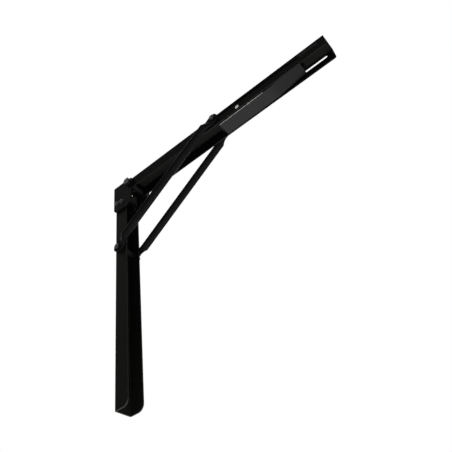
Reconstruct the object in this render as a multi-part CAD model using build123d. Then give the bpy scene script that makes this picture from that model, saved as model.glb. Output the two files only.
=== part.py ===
import os
from math import atan2, degrees, hypot, sqrt

from build123d import *

# Folding shelf bracket: a wall rail, a channel arm that swings down over the
# rail, two round struts and a rocking lock lever inside the arm.
# Millimetres. X runs away from the wall, Y across, Z up. The origin is the
# middle wall screw hole, on the back face of the rail.

# Wall rail, a channel that opens away from the wall
rail_above = 172.0
rail_below = 150.0
rail_width = 22.8
rail_depth = 19.4
rail_sheet = 1.5
rail_bend = 1.8
rail_foot_radius = 8.0
rail_top_radius = 4.0
wall_screw_pitch = 120.0
wall_screw_hole = 5.2

# Arm, a channel that opens downwards; its web runs back over the rail
arm_reach = 344.2
arm_width = 24.8
arm_depth = 18.7
arm_sheet = 1.5
arm_bend = 1.8
arm_above_pivot = 9.7
arm_tail_x = 10.0
arm_tail_depth = 3.2
arm_tip_radius = 3.0
shelf_hole = 4.5
shelf_hole_first = 80.0
shelf_hole_from_tip = 24.2
shelf_hole_offset = 4.2

# Arm pivot, through the two hinge plates
pivot_x = 28.8
pivot_below_rail_top = 5.8
pivot_bolt = 6.0
pivot_head = 10.0
pivot_head_height = 5.5
pivot_nut_height = 5.0
pivot_sleeve = 9.0

# Hinge plates, riveted to the rail over a shim
plate_sheet = 2.0
plate_height = 47.5
plate_above_rail = 3.0
plate_front_low = 31.0
plate_front_high = 36.5
plate_foot_radius = 14.0
plate_back_radius = 5.0
plate_top_radius = 7.0
shim_front = 18.0
shim_back = 1.5
shim_height = 39.0
shim_below_rail_top = 2.0
rivet = 4.0
rivet_head = 7.2
rivet_head_height = 2.2
rivet_tail = 6.4
rivet_tail_height = 1.4
rivet_back_x = 5.8
rivet_back_up = 14.5
rivet_front_x = 14.2
rivet_front_up = 13.5

# Struts, round bars with pressed flat ends
strut_foot_x = 8.3
strut_foot_below_pivot = 104.0
strut_head_x = 178.8
strut_head_above_pivot = 3.4
strut_bar = 9.8
strut_tab = 2.8
strut_tab_width = 13.6
strut_tab_length = 7.5
strut_press_length = 9.0
strut_bolt = 5.0
strut_bolt_head = 7.0
strut_bolt_head_height = 2.5
strut_nut_height = 4.5
strut_sleeve = 8.0
strut_washer = 11.0

# Lock lever, rocking on a flush rivet inside the arm; heights above the arm's lower edges
lever_sheet = 1.2
lever_pivot_x = 214.7
lever_pivot_up = 4.3
lever_rivet = 3.2
lever_rivet_head = 5.4
lever_rivet_sink = 0.9
lever_ear_radius = 4.8
lever_ear_reach = 10.0
lever_lip_x = 183.6
lever_lip_up = 9.4
lever_heel_up = 0.2
lever_belly_x = 262.0
lever_belly_up = 1.1
lever_belly_radius = 60.0
lever_end_x = 305.0
lever_end_up = 8.4
spring_wire = 1.0
spring_turns = 6

# Clearances
running = 0.05
side_gap = 0.3
slide_gap = 0.1
pin_end_gap = 0.2
lever_side_gap = 0.5

# What follows from the sizes above
rail_half = rail_width / 2
arm_half = arm_width / 2
pivot_z = rail_above - pivot_below_rail_top
arm_top = pivot_z + arm_above_pivot
arm_low = arm_top - arm_depth
arm_back = pivot_x - (pivot_z - arm_low)
plate_inner = arm_half + side_gap
plate_outer = plate_inner + plate_sheet
plate_high = rail_above + plate_above_rail
plate_low = plate_high - plate_height
rivet_places = (
    (rivet_back_x, plate_low + rivet_back_up),
    (rivet_front_x, plate_low + rivet_front_up),
)
tab_inner = arm_half + side_gap
tab_outer = tab_inner + strut_tab
strut_plane = tab_inner + strut_bar / 2
strut_foot_z = pivot_z - strut_foot_below_pivot
strut_head_z = pivot_z + strut_head_above_pivot
strut_length = hypot(strut_head_x - strut_foot_x, strut_head_z - strut_foot_z)
strut_rise = degrees(atan2(strut_head_z - strut_foot_z, strut_head_x - strut_foot_x))
folded_head_x = pivot_x + strut_head_above_pivot
folded_drop = sqrt(strut_length**2 - (folded_head_x - strut_foot_x) ** 2)
slot_end_x = pivot_x + pivot_z - (strut_foot_z - folded_drop)
lever_half = rail_half - rail_sheet - lever_side_gap
lever_pivot_z = arm_low + lever_pivot_up
lever_lip_top = arm_low + lever_lip_up
lever_heel_z = arm_low + lever_heel_up
lever_belly_z = arm_low + lever_belly_up
lever_end_z = arm_low + lever_end_up


def slab(profile, y_low, y_high):
    """Extrude an X-Z profile between two Y planes."""
    side = Plane(origin=(0, y_high, 0), x_dir=(1, 0, 0), z_dir=(0, -1, 0))
    return extrude(side * profile, amount=y_high - y_low)


def bar(radius, x, z, y_low, y_high):
    """Round bar along Y."""
    return slab(Pos(x, z) * Circle(radius), y_low, y_high)


def tube(outer, inner, x, z, y_low, y_high):
    """Round tube along Y, given by its radii."""
    return slab(Pos(x, z) * (Circle(outer) - Circle(inner)), y_low, y_high)


def hexagon(across, x, z, y_low, y_high):
    """Hexagonal prism along Y with its outer corners broken."""
    body = slab(Pos(x, z) * RegularPolygon(across / sqrt(3), 6), y_low, y_high)
    round_off = bar(across / sqrt(3) * 0.96, x, z, y_low, y_high)
    return body & round_off


def channel_section(width, depth, sheet, bend):
    """U section, web on the local X axis side at 0, open towards +X."""
    outer = Pos(depth / 2, 0) * Rectangle(depth, width)
    outer = fillet(outer.vertices().sort_by(Axis.X)[:2], bend)
    inner = Pos(sheet + depth / 2, 0) * Rectangle(depth, width - 2 * sheet)
    inner = fillet(inner.vertices().sort_by(Axis.X)[:2], bend - sheet)
    return outer - inner


def rounded_outline(points, radii):
    """Closed outline in X-Z with one corner radius per point, 0 for sharp."""
    outline = make_face(Polyline(*points, close=True))
    for point, radius in zip(points, radii):
        if radius > 0:
            corner = outline.vertices().sort_by_distance((point[0], point[1], 0))[0]
            outline = fillet(corner, radius)
    return outline


def mirrored(shape):
    """The same piece on the other side of the bracket."""
    return mirror(shape, about=Plane.XZ)


parts = {}

# Wall rail
section = channel_section(rail_width, rail_depth, rail_sheet, rail_bend)
rail_height = rail_above + rail_below
rail = extrude(Plane(origin=(0, 0, -rail_below)) * section, amount=rail_height)
rail_side = rounded_outline(
    [(0, -rail_below), (rail_depth, -rail_below), (rail_depth, rail_above), (0, rail_above)],
    [0, rail_foot_radius, rail_top_radius, 0],
)
rail = rail & slab(rail_side, -rail_half, rail_half)
for step in (-1, 0, 1):
    hole = Pos(0, 0, step * wall_screw_pitch) * Rot(0, 90, 0)
    rail -= hole * Cylinder(wall_screw_hole / 2, 3 * rail_sheet)
for x, z in rivet_places:
    rail -= bar(rivet / 2 + running, x, z, -rail_width, rail_width)
rail -= bar(strut_bolt / 2 + running, strut_foot_x, strut_foot_z, -rail_width, rail_width)
parts["wall_rail"] = rail

# Arm channel
section = channel_section(arm_width, arm_depth, arm_sheet, arm_bend)
arm_plane = Plane(origin=(arm_tail_x, 0, arm_top), x_dir=(0, 0, -1), z_dir=(1, 0, 0))
arm = extrude(arm_plane * section, amount=arm_reach - arm_tail_x)
tail_low = arm_top - arm_tail_depth
arm_side = rounded_outline(
    [
        (arm_tail_x, tail_low),
        (arm_back, tail_low),
        (arm_back, arm_low),
        (arm_reach, arm_low),
        (arm_reach, arm_top),
        (arm_tail_x, arm_top),
    ],
    [1.5, 0, pivot_z - arm_low - 0.01, arm_tip_radius, 0, 0],
)
arm = arm & slab(arm_side, -arm_half, arm_half)
arm -= bar(pivot_bolt / 2 + running, pivot_x, pivot_z, -arm_width, arm_width)
slot_run = slot_end_x - strut_head_x
slot_face = SlotCenterToCenter(slot_run, strut_bolt + 2 * slide_gap)
slot_place = Pos((strut_head_x + slot_end_x) / 2, strut_head_z)
arm -= slab(slot_place * slot_face, -arm_width, arm_width)
arm -= bar(lever_rivet / 2 + running, lever_pivot_x, lever_pivot_z, -arm_width, arm_width)
for side in (-1, 1):
    sink = Cone(lever_rivet_head / 2 + running, lever_rivet / 2 + running, lever_rivet_sink)
    sink_y = side * (arm_half - lever_rivet_sink / 2)
    arm -= Pos(lever_pivot_x, sink_y, lever_pivot_z) * Rot(side * 90, 0, 0) * sink
for x in (shelf_hole_first, arm_reach - shelf_hole_from_tip):
    arm -= Pos(x, -shelf_hole_offset, arm_top) * Cylinder(shelf_hole / 2, 3 * arm_sheet)
parts["arm_channel"] = arm

# Hinge plates and the shims that hold them clear of the arm
plate_face = rounded_outline(
    [
        (0, plate_low),
        (plate_front_low, plate_low),
        (plate_front_high, plate_high),
        (0, plate_high),
    ],
    [plate_back_radius, plate_foot_radius, plate_top_radius, 1.0],
)
plate = slab(plate_face, plate_inner, plate_outer)
plate -= bar(pivot_bolt / 2 + running, pivot_x, pivot_z, plate_inner - 1, plate_outer + 1)
shim_middle = rail_above - shim_below_rail_top - shim_height / 2
shim_face = RectangleRounded(shim_front - shim_back, shim_height, 2.0)
shim_face = Pos((shim_back + shim_front) / 2, shim_middle) * shim_face
shim = slab(shim_face, rail_half, plate_inner)
rivets = []
for x, z in rivet_places:
    hole = bar(rivet / 2 + running, x, z, 0, arm_width)
    plate -= hole
    shim -= hole
    tail_y = rail_half - rail_sheet
    one = bar(rivet / 2, x, z, tail_y, plate_outer)
    one += bar(rivet_tail / 2, x, z, tail_y - rivet_tail_height, tail_y)
    ball = ((rivet_head / 2) ** 2 + rivet_head_height**2) / (2 * rivet_head_height)
    cap = bar(rivet_head / 2, x, z, plate_outer, plate_outer + rivet_head_height)
    cap = cap & (Pos(x, plate_outer + rivet_head_height - ball, z) * Sphere(ball))
    rivets.append(one + cap)
parts["hinge_plate_right"] = plate
parts["hinge_plate_left"] = mirrored(plate)
parts["hinge_shim_right"] = shim
parts["hinge_shim_left"] = mirrored(shim)
parts["plate_rivets_right"] = Compound(children=rivets)
parts["plate_rivets_left"] = Compound(children=[mirrored(one) for one in rivets])

# Arm pivot: bolt with its head on the left, sleeve in the arm, nut on the right
bolt = bar(pivot_bolt / 2, pivot_x, pivot_z, -plate_outer, plate_outer + pivot_nut_height + 1.5)
bolt += hexagon(pivot_head, pivot_x, pivot_z, -plate_outer - pivot_head_height, -plate_outer)
parts["arm_pivot_bolt"] = bolt
nut = hexagon(pivot_head, pivot_x, pivot_z, plate_outer, plate_outer + pivot_nut_height)
nut -= bar(pivot_bolt / 2, pivot_x, pivot_z, plate_outer - 1, plate_outer + pivot_nut_height + 1)
parts["arm_pivot_nut"] = nut
sleeve_half = arm_half - arm_sheet
parts["arm_pivot_sleeve"] = tube(
    pivot_sleeve / 2, pivot_bolt / 2 + running, pivot_x, pivot_z, -sleeve_half, sleeve_half
)

# Struts, drawn along local X from the foot hole to the head hole
tab_mid = (tab_inner + tab_outer) / 2
tab_face = Rectangle(strut_tab_length, strut_tab_width)
tab_face = Pos(strut_tab_length / 2, 0) * tab_face + Circle(strut_tab_width / 2)
tab_face -= Circle(strut_bolt / 2 + running)
foot_tab = slab(tab_face, tab_inner, tab_outer)
press_end = strut_tab_length + strut_press_length
across = Plane(origin=(strut_tab_length, tab_mid, 0), x_dir=(0, 1, 0), z_dir=(1, 0, 0))
flat_section = across * RectangleRounded(strut_tab, strut_tab_width, strut_tab * 0.3)
across = Plane(origin=(press_end, strut_plane, 0), x_dir=(0, 1, 0), z_dir=(1, 0, 0))
round_section = across * Circle(strut_bar / 2)
foot_press = loft([flat_section, round_section])
half_length = strut_length / 2
half_bar = extrude(round_section, amount=half_length - press_end)
half_strut = foot_tab + foot_press + half_bar
other_half = mirror(half_strut, about=Plane(origin=(half_length, 0, 0), z_dir=(1, 0, 0)))
strut = half_strut + other_half
strut = Pos(strut_foot_x, 0, strut_foot_z) * Rot(0, -strut_rise, 0) * strut
parts["strut_right"] = strut
parts["strut_left"] = mirrored(strut)

# Strut foot: one bolt through the rail and both struts
foot = (strut_foot_x, strut_foot_z)
bolt_end = tab_outer + strut_nut_height + 1.5
bolt = bar(strut_bolt / 2, *foot, -tab_outer, bolt_end)
bolt += hexagon(strut_bolt_head, *foot, -tab_outer - strut_bolt_head_height, -tab_outer)
parts["strut_foot_bolt"] = bolt
nut = hexagon(strut_bolt_head, *foot, tab_outer, tab_outer + strut_nut_height)
nut -= bar(strut_bolt / 2, *foot, tab_outer - 1, tab_outer + strut_nut_height + 1)
parts["strut_foot_nut"] = nut
sleeve_half = rail_half - rail_sheet
bore = strut_bolt / 2 + running
parts["strut_foot_sleeve"] = tube(strut_sleeve / 2, bore, *foot, -sleeve_half, sleeve_half)
washer = tube(strut_washer / 2, bore, *foot, rail_half, tab_inner)
parts["strut_foot_washer_right"] = washer
parts["strut_foot_washer_left"] = mirrored(washer)

# Strut head: a cross pin in the arm's slots and a screw in each strut end
head = (strut_head_x, strut_head_z)
pin_half = tab_inner - pin_end_gap
parts["cross_pin"] = bar(strut_bolt / 2, *head, -pin_half, pin_half)
screw = bar(strut_bolt / 2, *head, tab_inner, tab_outer)
screw += hexagon(strut_bolt_head, *head, tab_outer, tab_outer + strut_bolt_head_height)
parts["strut_head_screw_right"] = screw
parts["strut_head_screw_left"] = mirrored(screw)

# Lock lever: a bent leaf with a catch lip, a finger belly and two ears
leaf_points = [
    (lever_lip_x, lever_lip_top),
    (lever_lip_x, lever_heel_z),
    (lever_belly_x, lever_belly_z),
    (lever_end_x, lever_end_z),
    (lever_end_x + lever_sheet * 0.2, lever_end_z - lever_sheet),
    (lever_belly_x, lever_belly_z - lever_sheet),
    (lever_lip_x - lever_sheet, lever_heel_z - lever_sheet),
    (lever_lip_x - lever_sheet, lever_lip_top),
]
leaf_radii = [0, 0.8, lever_belly_radius, 0, 0, lever_belly_radius + lever_sheet, 2.0, 0]
lever = slab(rounded_outline(leaf_points, leaf_radii), -lever_half, lever_half)
leaf_slope = (lever_belly_z - lever_heel_z) / (lever_belly_x - lever_lip_x)
ear_points = []
for x in (lever_pivot_x - lever_ear_reach, lever_pivot_x + lever_ear_reach):
    ear_points.append((x, lever_heel_z + leaf_slope * (x - lever_lip_x) - lever_sheet / 2))
ear_points.append((lever_pivot_x + lever_ear_radius * 0.9, lever_pivot_z + lever_ear_radius * 0.4))
ear_points.append((lever_pivot_x - lever_ear_radius * 0.9, lever_pivot_z + lever_ear_radius * 0.4))
ear_face = make_face(Polyline(*ear_points, close=True))
ear_face += Pos(lever_pivot_x, lever_pivot_z) * Circle(lever_ear_radius)
ear = slab(ear_face, lever_half - lever_sheet, lever_half)
lever += ear
lever += mirrored(ear)
lever -= bar(lever_rivet / 2 + running, lever_pivot_x, lever_pivot_z, -arm_half, arm_half)
parts["lock_lever"] = lever

pin = bar(lever_rivet / 2, lever_pivot_x, lever_pivot_z, -arm_half, arm_half)
for side in (-1, 1):
    sink = Cone(lever_rivet_head / 2, lever_rivet / 2, lever_rivet_sink)
    sink_y = side * (arm_half - lever_rivet_sink / 2)
    pin += Pos(lever_pivot_x, sink_y, lever_pivot_z) * Rot(side * 90, 0, 0) * sink
parts["lever_rivet"] = pin

# Return spring: a close-wound coil on the lever rivet
coil_half = spring_turns * spring_wire / 2
coil_inner = lever_rivet / 2 + 2 * running
coil_middle = coil_inner + spring_wire / 2
coil_face = Pos(coil_middle, 0) * Rectangle(spring_wire * 0.6, 2 * coil_half - spring_wire)
for turn in range(spring_turns):
    place = Pos(coil_middle, (turn + 0.5) * spring_wire - coil_half)
    coil_face += place * Circle(spring_wire / 2)
coil = revolve(coil_face, Axis.Y)
parts["lever_spring"] = Pos(lever_pivot_x, 0, lever_pivot_z) * coil

os.makedirs("parts", exist_ok=True)
for name, shape in parts.items():
    export_step(shape, "parts/" + name + ".step")
    print(name, round(shape.volume, 1))
print("slot end", round(slot_end_x, 2), "strut", round(strut_length, 2), round(strut_rise, 2))
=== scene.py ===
import bpy
from math import radians, pi
from mathutils import Matrix, Vector


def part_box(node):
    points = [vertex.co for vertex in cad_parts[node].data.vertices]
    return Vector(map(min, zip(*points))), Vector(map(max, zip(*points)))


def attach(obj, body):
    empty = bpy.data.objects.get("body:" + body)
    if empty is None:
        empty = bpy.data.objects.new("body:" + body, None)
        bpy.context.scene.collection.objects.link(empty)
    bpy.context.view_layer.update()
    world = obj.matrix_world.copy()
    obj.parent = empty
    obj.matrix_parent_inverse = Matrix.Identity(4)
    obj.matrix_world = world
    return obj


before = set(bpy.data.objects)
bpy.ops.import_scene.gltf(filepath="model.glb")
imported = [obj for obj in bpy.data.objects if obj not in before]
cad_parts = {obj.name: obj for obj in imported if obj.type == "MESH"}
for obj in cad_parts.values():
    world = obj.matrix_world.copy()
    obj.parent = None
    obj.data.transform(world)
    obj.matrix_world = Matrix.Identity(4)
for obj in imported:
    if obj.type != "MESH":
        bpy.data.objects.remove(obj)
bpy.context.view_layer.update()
print("frame loaded")

# shared shader groups

grainSet = {"fineDetail": 3.0, "broadScale": 60.0, "broadDetail": 4.0, "broadMiddle": 0.5}
wearSet = {
    "samples": 4, "flatDot": 0.995, "sharpDot": 0.86,
    "patchScale": 260.0, "patchDetail": 5.0, "patchFrom": 0.3, "patchTo": 0.52,
}


def newGroup(name, ins, outs):
    group = bpy.data.node_groups.new(name, "ShaderNodeTree")
    for label, kind, value in ins:
        socket = group.interface.new_socket(label, in_out="INPUT", socket_type=kind)
        if value is not None:
            socket.default_value = value
    for label, kind in outs:
        group.interface.new_socket(label, in_out="OUTPUT", socket_type=kind)
    return group, group.nodes.new("NodeGroupInput"), group.nodes.new("NodeGroupOutput")


def mathNode(tree, operation, *values):
    node = tree.nodes.new("ShaderNodeMath")
    node.operation = operation
    for socket, value in zip(node.inputs, values):
        if isinstance(value, bpy.types.NodeSocket):
            tree.links.new(value, socket)
        else:
            socket.default_value = value
    return node.outputs[0]


def noiseNode(tree, scale, detail, vector):
    node = tree.nodes.new("ShaderNodeTexNoise")
    node.inputs["Detail"].default_value = detail
    tree.links.new(vector, node.inputs["Vector"])
    if isinstance(scale, bpy.types.NodeSocket):
        tree.links.new(scale, node.inputs["Scale"])
    else:
        node.inputs["Scale"].default_value = scale
    return node.outputs["Fac"]


def powderGrainGroup():
    group, gin, gout = newGroup(
        "PowderGrain",
        [("Vector", "NodeSocketVector", None),
         ("Scale", "NodeSocketFloat", 900.0),
         ("Roughness", "NodeSocketFloat", 0.4),
         ("Spread", "NodeSocketFloat", 0.12)],
        [("Height", "NodeSocketFloat"), ("Roughness", "NodeSocketFloat")],
    )
    vector = gin.outputs["Vector"]
    fine = noiseNode(group, gin.outputs["Scale"], grainSet["fineDetail"], vector)  # orange peel
    group.links.new(fine, gout.inputs["Height"])
    broad = noiseNode(group, grainSet["broadScale"], grainSet["broadDetail"], vector)  # handling
    shift = mathNode(group, "SUBTRACT", broad, grainSet["broadMiddle"])
    rough = mathNode(group, "MULTIPLY_ADD", shift, gin.outputs["Spread"], gin.outputs["Roughness"])
    group.links.new(rough, gout.inputs["Roughness"])
    return group


def rimWearGroup():
    group, gin, gout = newGroup(
        "RimWear",
        [("Vector", "NodeSocketVector", None),
         ("Width", "NodeSocketFloat", 0.0006),
         ("Amount", "NodeSocketFloat", 0.5)],
        [("Mask", "NodeSocketFloat")],
    )
    n, l = group.nodes, group.links
    bevel = n.new("ShaderNodeBevel")
    bevel.samples = wearSet["samples"]
    l.new(gin.outputs["Width"], bevel.inputs["Radius"])
    geo = n.new("ShaderNodeNewGeometry")
    dot = n.new("ShaderNodeVectorMath")
    dot.operation = "DOT_PRODUCT"
    l.new(bevel.outputs["Normal"], dot.inputs[0])
    l.new(geo.outputs["Normal"], dot.inputs[1])
    away = n.new("ShaderNodeMapRange")
    away.inputs["From Min"].default_value = wearSet["flatDot"]
    away.inputs["From Max"].default_value = wearSet["sharpDot"]
    l.new(dot.outputs["Value"], away.inputs["Value"])
    patch = noiseNode(group, wearSet["patchScale"], wearSet["patchDetail"], gin.outputs["Vector"])
    worn = n.new("ShaderNodeMapRange")
    worn.inputs["From Min"].default_value = wearSet["patchFrom"]
    worn.inputs["From Max"].default_value = wearSet["patchTo"]
    l.new(patch, worn.inputs["Value"])
    both = mathNode(group, "MULTIPLY", away.outputs["Result"], worn.outputs["Result"])
    l.new(mathNode(group, "MULTIPLY", both, gin.outputs["Amount"]), gout.inputs["Mask"])
    return group


powderGrain = powderGrainGroup()
rimWear = rimWearGroup()

# coats, bare steels and a painted highlight

bumpDistance = 0.0001


def groupNode(tree, group):
    node = tree.nodes.new("ShaderNodeGroup")
    node.node_tree = group
    return node


def coatMaterial(name, look):
    material = bpy.data.materials.new(name)
    material.use_nodes = True
    tree = material.node_tree
    n, l = tree.nodes, tree.links
    shader = n["Principled BSDF"]
    coord = n.new("ShaderNodeTexCoord")
    grain = groupNode(tree, powderGrain)
    grain.inputs["Scale"].default_value = look["grainScale"]
    grain.inputs["Roughness"].default_value = look["roughness"]
    grain.inputs["Spread"].default_value = look["sheenSpread"]
    wear = groupNode(tree, rimWear)
    wear.inputs["Width"].default_value = look["edgeWidth"]
    wear.inputs["Amount"].default_value = look["edgeWear"]
    l.new(coord.outputs["Object"], grain.inputs["Vector"])
    l.new(coord.outputs["Object"], wear.inputs["Vector"])
    tone = n.new("ShaderNodeMix")
    tone.data_type = "RGBA"
    tone.inputs["A"].default_value = (*look["color"], 1)
    tone.inputs["B"].default_value = (*look["edgeColor"], 1)
    l.new(wear.outputs["Mask"], tone.inputs["Factor"])
    l.new(tone.outputs["Result"], shader.inputs["Base Color"])
    l.new(grain.outputs["Roughness"], shader.inputs["Roughness"])
    bump = n.new("ShaderNodeBump")
    bump.inputs["Strength"].default_value = look["bump"]
    bump.inputs["Distance"].default_value = bumpDistance
    l.new(grain.outputs["Height"], bump.inputs["Height"])
    l.new(bump.outputs["Normal"], shader.inputs["Normal"])
    shader.inputs["Metallic"].default_value = look["metallic"]
    shader.inputs["Specular IOR Level"].default_value = look["specular"]
    return material


railLook = {
    "color": (0.0205, 0.0215, 0.0185), "edgeColor": (0.1, 0.1, 0.095),
    "roughness": 0.42, "sheenSpread": 0.14, "grainScale": 1400.0, "bump": 0.12,
    "edgeWidth": 0.0008, "edgeWear": 0.9, "metallic": 0.0, "specular": 0.016,
}
armLook = {
    "color": (0.0148, 0.0151, 0.0142), "edgeColor": (0.06, 0.06, 0.058),
    "roughness": 0.45, "sheenSpread": 0.14, "grainScale": 1400.0, "bump": 0.12,
    "edgeWidth": 0.0006, "edgeWear": 0.7, "metallic": 0.0, "specular": 0.008,
}
plateLook = {
    "color": (0.0125, 0.013, 0.0115), "edgeColor": (0.06, 0.06, 0.058),
    "roughness": 0.42, "sheenSpread": 0.14, "grainScale": 1400.0, "bump": 0.12,
    "edgeWidth": 0.0006, "edgeWear": 0.7, "metallic": 0.0, "specular": 0.012,
}
strutLook = {
    "color": (0.0122, 0.0122, 0.012), "edgeColor": (0.04, 0.04, 0.04),
    "roughness": 0.36, "sheenSpread": 0.16, "grainScale": 1600.0, "bump": 0.1,
    "edgeWidth": 0.0004, "edgeWear": 0.4, "metallic": 0.0, "specular": 0.008,
}
leverLook = {
    "color": (0.0175, 0.018, 0.0175), "edgeColor": (0.12, 0.12, 0.12),
    "roughness": 0.36, "sheenSpread": 0.16, "grainScale": 1600.0, "bump": 0.1,
    "edgeWidth": 0.0005, "edgeWear": 0.8, "metallic": 0.0, "specular": 0.085,
}
boltLook = {
    "color": (0.018, 0.018, 0.0185), "edgeColor": (0.12, 0.12, 0.12),
    "roughness": 0.34, "sheenSpread": 0.2, "grainScale": 2200.0, "bump": 0.08,
    "edgeWidth": 0.0003, "edgeWear": 0.8, "metallic": 0.4, "specular": 0.2,
}
rivetLook = {
    "color": (0.024, 0.024, 0.024), "edgeColor": (0.08, 0.08, 0.08),
    "roughness": 0.36, "sheenSpread": 0.2, "grainScale": 2200.0, "bump": 0.1,
    "edgeWidth": 0.0003, "edgeWear": 0.6, "metallic": 0.5, "specular": 0.3,
}
pinLook = {
    "color": (0.012, 0.012, 0.012), "edgeColor": (0.08, 0.08, 0.08),
    "roughness": 0.42, "sheenSpread": 0.2, "grainScale": 2600.0, "bump": 0.06,
    "edgeWidth": 0.0002, "edgeWear": 0.5, "metallic": 0.2, "specular": 0.05,
}
leverRivetLook = {
    "color": (0.42, 0.42, 0.41), "edgeColor": (0.5, 0.5, 0.5),
    "roughness": 0.34, "sheenSpread": 0.15, "grainScale": 2600.0, "bump": 0.06,
    "edgeWidth": 0.0002, "edgeWear": 0.4, "metallic": 0.9, "specular": 0.5,
}
# painted highlight: this pale colour stands for light glinting along the lever's near edge, not
# for bare or rubbed metal
hemHighlightLook = {
    "color": (0.4, 0.4, 0.39), "edgeColor": (0.6, 0.6, 0.58),
    "roughness": 0.36, "sheenSpread": 0.2, "grainScale": 1800.0, "bump": 0.1,
    "edgeWidth": 0.0003, "edgeWear": 0.8, "metallic": 0.3, "specular": 0.2,
}
springLook = {
    "color": (0.03, 0.03, 0.031), "edgeColor": (0.15, 0.15, 0.15),
    "roughness": 0.32, "sheenSpread": 0.2, "grainScale": 2600.0, "bump": 0.05,
    "edgeWidth": 0.0002, "edgeWear": 0.3, "metallic": 0.5, "specular": 0.1,
}

railCoat = coatMaterial("railCoat", railLook)
armCoat = coatMaterial("armCoat", armLook)
plateCoat = coatMaterial("plateCoat", plateLook)
strutCoat = coatMaterial("strutCoat", strutLook)
leverCoat = coatMaterial("leverCoat", leverLook)
boltSteel = coatMaterial("boltSteel", boltLook)
rivetSteel = coatMaterial("rivetSteel", rivetLook)
pinSteel = coatMaterial("pinSteel", pinLook)
springSteel = coatMaterial("springSteel", springLook)
leverRivetSteel = coatMaterial("leverRivetSteel", leverRivetLook)
# material carrying the painted highlight of the lever's near hem
hemHighlightPaint = coatMaterial("hemHighlightPaint", hemHighlightLook)
print("materials made")

finishOf = {
    "wall_rail": railCoat,
    "arm_channel": armCoat,
    "hinge_plate_right": plateCoat,
    "hinge_plate_left": plateCoat,
    "hinge_shim_right": plateCoat,
    "hinge_shim_left": plateCoat,
    "plate_rivets_right": rivetSteel,
    "plate_rivets_left": rivetSteel,
    "arm_pivot_bolt": boltSteel,
    "arm_pivot_nut": boltSteel,
    "arm_pivot_sleeve": pinSteel,
    "strut_right": strutCoat,
    "strut_left": strutCoat,
    "strut_foot_bolt": boltSteel,
    "strut_foot_nut": boltSteel,
    "strut_foot_sleeve": pinSteel,
    "strut_foot_washer_right": boltSteel,
    "strut_foot_washer_left": boltSteel,
    "cross_pin": pinSteel,
    "strut_head_screw_right": boltSteel,
    "strut_head_screw_left": boltSteel,
    "lock_lever": leverCoat,
    "lever_rivet": leverRivetSteel,
    "lever_spring": springSteel,
}
for nodeName, material in finishOf.items():
    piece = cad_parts[nodeName]
    for place in piece.material_slots:
        place.material = material
print("finishes given to", len(finishOf), "nodes")

# small pieces that the solids leave out

smoothAngle = radians(35)
barEndShare = 0.6  # how wide a bar's ends are, next to its middle


def startClean():
    if bpy.context.object is not None and bpy.context.object.mode != "OBJECT":
        bpy.ops.object.mode_set(mode="OBJECT")
    bpy.ops.object.select_all(action="DESELECT")


def settlePiece(piece, name, finish, body):
    bpy.ops.object.mode_set(mode="EDIT")
    bpy.ops.mesh.select_all(action="SELECT")
    bpy.ops.mesh.normals_make_consistent(inside=False)
    bpy.ops.object.mode_set(mode="OBJECT")
    bpy.ops.object.shade_smooth_by_angle(angle=smoothAngle)
    piece.name = name
    piece.data.materials.append(finish)
    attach(piece, body)


def runBar(name, route, halfY, halfZ, sides, finish, body):
    startClean()
    bpy.ops.mesh.primitive_circle_add(vertices=sides, radius=1.0, fill_type="NGON",
                                      location=route[0], rotation=(0, pi / 2, 0))
    piece = bpy.context.object
    piece.scale = (halfZ * barEndShare, halfY * barEndShare, 1.0)
    bpy.ops.object.transform_apply(location=True, rotation=True, scale=True)
    bpy.ops.object.mode_set(mode="EDIT")
    bpy.ops.mesh.select_all(action="SELECT")
    last = len(route) - 1
    for step in range(1, last + 1):
        move = Vector(route[step]) - Vector(route[step - 1])
        bpy.ops.mesh.extrude_region_move(TRANSFORM_OT_translate={"value": move})
        grow = 1 / barEndShare if step == 1 else barEndShare if step == last else 1.0
        if grow != 1.0:
            bpy.ops.transform.resize(value=(1, grow, grow), center_override=route[step])
    settlePiece(piece, name, finish, body)


hemSet = {
    "near": 0.00936, "half": 0.00042, "thick": 0.0008, "sides": 16, "steps": 6,
    "fromX": 0.1846, "toX": 0.2500, "fromZ": 0.15681, "toZ": 0.15757,
    "leadIn": 0.0003, "leadOut": 0.0015,
}
for side, word in ((-1, "left"), (1, "right")):
    edgeY = side * hemSet["near"]
    hemRoute = [(hemSet["fromX"] - hemSet["leadIn"], edgeY, hemSet["fromZ"])]
    for step in range(hemSet["steps"] + 1):
        part = step / hemSet["steps"]
        hemRoute.append((hemSet["fromX"] + (hemSet["toX"] - hemSet["fromX"]) * part, edgeY,
                         hemSet["fromZ"] + (hemSet["toZ"] - hemSet["fromZ"]) * part))
    hemRoute.append((hemSet["toX"] + hemSet["leadOut"], edgeY, hemSet["toZ"]))
    hemSidePaint = hemHighlightPaint if side < 0 else leverCoat  # painted highlight: the near-side hem gets a pale colour standing for light glinting along the lever's edge; the far side keeps the lever coat
    runBar("lever_hem_" + word, hemRoute, hemSet["half"], hemSet["thick"], hemSet["sides"],
           hemSidePaint, "lever")

legSet = {
    "wire": 0.0005, "sides": 12, "side": 0.0024,
    "frontLine": [(0.2146, 0.1593), (0.2150, 0.1593), (0.2190, 0.1589),
                  (0.2240, 0.1586), (0.2300, 0.1585), (0.2303, 0.1585)],
    "rearLine": [(0.1987, 0.1582), (0.1990, 0.1582), (0.2050, 0.1583),
                 (0.2105, 0.1588), (0.2144, 0.1593), (0.2148, 0.1593)],
}
for side, word in ((1, "front"), (-1, "rear")):
    legRoute = [(x, side * legSet["side"], z) for x, z in legSet[word + "Line"]]
    runBar("spring_leg_" + word, legRoute, legSet["wire"], legSet["wire"], legSet["sides"],
           springSteel, "lever")

threadSet = {
    "pivotRadius": 0.003, "footRadius": 0.0025, "pitch": 0.0008, "crest": 1.045,
    "sides": 28, "tip": 0.86, "tipLength": 0.0003, "sink": 0.0002,
}


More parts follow.
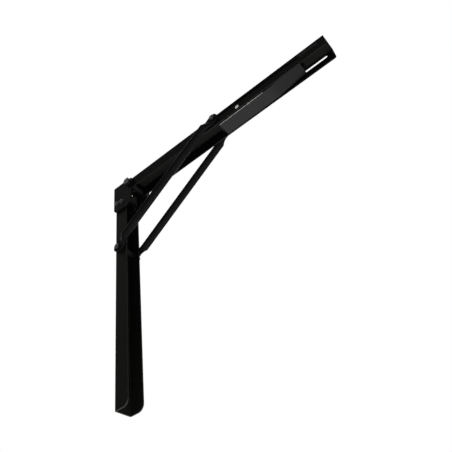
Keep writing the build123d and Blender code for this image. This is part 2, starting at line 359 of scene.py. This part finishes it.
def threadTail(name, boltNode, nutNode, radius):
    boltBox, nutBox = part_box(boltNode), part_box(nutNode)
    nutMiddle = [(low + high) / 2 for low, high in zip(*nutBox)]
    fromY, toY = nutBox[1][1] - threadSet["sink"], boltBox[1][1]
    endMiddle = (nutMiddle[0], toY, nutMiddle[2])
    turns = max(1, int((toY - fromY) / threadSet["pitch"]))
    startClean()
    bpy.ops.mesh.primitive_circle_add(vertices=threadSet["sides"], radius=radius,
                                      fill_type="NGON", rotation=(-pi / 2, 0, 0),
                                      location=(nutMiddle[0], fromY, nutMiddle[2]))
    piece = bpy.context.object
    bpy.ops.object.transform_apply(location=True, rotation=True, scale=True)
    bpy.ops.object.mode_set(mode="EDIT")
    bpy.ops.mesh.select_all(action="SELECT")
    half = (toY - fromY) / turns / 2
    for turn in range(turns):
        for grow in (threadSet["crest"], 1 / threadSet["crest"]):
            bpy.ops.mesh.extrude_region_move(TRANSFORM_OT_translate={"value": (0, half, 0)})
            bpy.ops.transform.resize(value=(grow, 1, grow), center_override=endMiddle)
    tipMove = (0, threadSet["tipLength"], 0)
    bpy.ops.mesh.extrude_region_move(TRANSFORM_OT_translate={"value": tipMove})
    bpy.ops.transform.resize(value=(threadSet["tip"], 1, threadSet["tip"]),
                             center_override=endMiddle)
    settlePiece(piece, name, boltSteel, "rail")


threadTail("pivot_thread", "arm_pivot_bolt", "arm_pivot_nut", threadSet["pivotRadius"])
threadTail("foot_thread", "strut_foot_bolt", "strut_foot_nut", threadSet["footRadius"])
print("hems, spring legs and threads made")

# floor, light and camera


def seenFactor(tree):
    path = tree.nodes.new("ShaderNodeLightPath")
    total = path.outputs["Is Camera Ray"]
    for ray in ("Is Glossy Ray", "Is Transmission Ray"):
        total = mathNode(tree, "MAXIMUM", total, path.outputs[ray])
    return total


stageSet = {
    "floorZ": -0.75, "floorSize": 6.0, "floorColor": (0.82, 0.82, 0.81),
    "floorRough": 0.9, "floorGlow": 0.72,
}
startClean()
bpy.ops.mesh.primitive_plane_add(size=stageSet["floorSize"], location=(0, 0, stageSet["floorZ"]))
floor = bpy.context.object
floor.name = "studioFloor"
floorPaint = bpy.data.materials.new("floorPaint")
floorPaint.use_nodes = True
floorTree = floorPaint.node_tree
floorShader = floorTree.nodes["Principled BSDF"]
floorShader.inputs["Base Color"].default_value = (*stageSet["floorColor"], 1)
floorShader.inputs["Roughness"].default_value = stageSet["floorRough"]
floorShader.inputs["Emission Color"].default_value = (1, 1, 1, 1)
glow = mathNode(floorTree, "MULTIPLY", seenFactor(floorTree), stageSet["floorGlow"])
floorTree.links.new(glow, floorShader.inputs["Emission Strength"])  # pale, with the shadow kept
floor.data.materials.append(floorPaint)

lampSet = {
    "sideLamp": {"power": 3.0, "size": 0.7, "at": (0.0, 0.45, -0.68)},
    "underLamp": {"power": 4.5, "size": 0.36, "at": (0.08, 0.02, -0.7)},
    "topLamp": {"power": 5.0, "size": 1.0, "at": (-0.2, 0.7, 1.1)},
}
lampAim = Vector((0.15, 0.0, 0.03))
for lampName, lampValues in lampSet.items():
    bpy.ops.object.light_add(type="AREA", location=lampValues["at"])
    lamp = bpy.context.object
    lamp.name = lampName
    lamp.data.energy = lampValues["power"]
    lamp.data.shape = "SQUARE"
    lamp.data.size = lampValues["size"]
    lampLine = lampAim - Vector(lampValues["at"])
    lamp.rotation_euler = lampLine.to_track_quat("-Z", "Y").to_euler()
    lamp.visible_camera = False

worldSet = {"soft": 0.055, "seen": 1.0}  # what lights the part, and what the camera sees
world = bpy.data.worlds.new("studioWorld")
bpy.context.scene.world = world
world.use_nodes = True
wn, wl = world.node_tree.nodes, world.node_tree.links
soft = wn["Background"]
soft.inputs["Color"].default_value = (1, 1, 1, 1)
soft.inputs["Strength"].default_value = worldSet["soft"]
seen = wn.new("ShaderNodeBackground")
seen.inputs["Color"].default_value = (1, 1, 1, 1)
seen.inputs["Strength"].default_value = worldSet["seen"]
mixer = wn.new("ShaderNodeMixShader")
wl.new(seenFactor(world.node_tree), mixer.inputs["Fac"])
wl.new(soft.outputs["Background"], mixer.inputs[1])
wl.new(seen.outputs["Background"], mixer.inputs[2])
wl.new(mixer.outputs["Shader"], wn["World Output"].inputs["Surface"])

cameraSet = {
    "at": (0.3873, -0.3714, -0.3983), "lens": 43.2, "sensor": 36.0, "nearest": 0.01,
    "right": (0.7768, 0.6159, -0.1317), "up": (0.5002, -0.4762, 0.7232),
}
bpy.ops.object.camera_add(location=cameraSet["at"])
camera = bpy.context.object
camera.name = "viewCamera"
right = Vector(cameraSet["right"]).normalized()
up = Vector(cameraSet["up"])
up = (up - right * up.dot(right)).normalized()
back = right.cross(up)
camera.rotation_euler = Matrix((right, up, back)).transposed().to_euler()
camera.data.lens = cameraSet["lens"]
camera.data.sensor_width = cameraSet["sensor"]
camera.data.clip_start = cameraSet["nearest"]
bpy.context.scene.camera = camera
bpy.context.scene.view_settings.view_transform = "Standard"
print("stage, light and camera set")
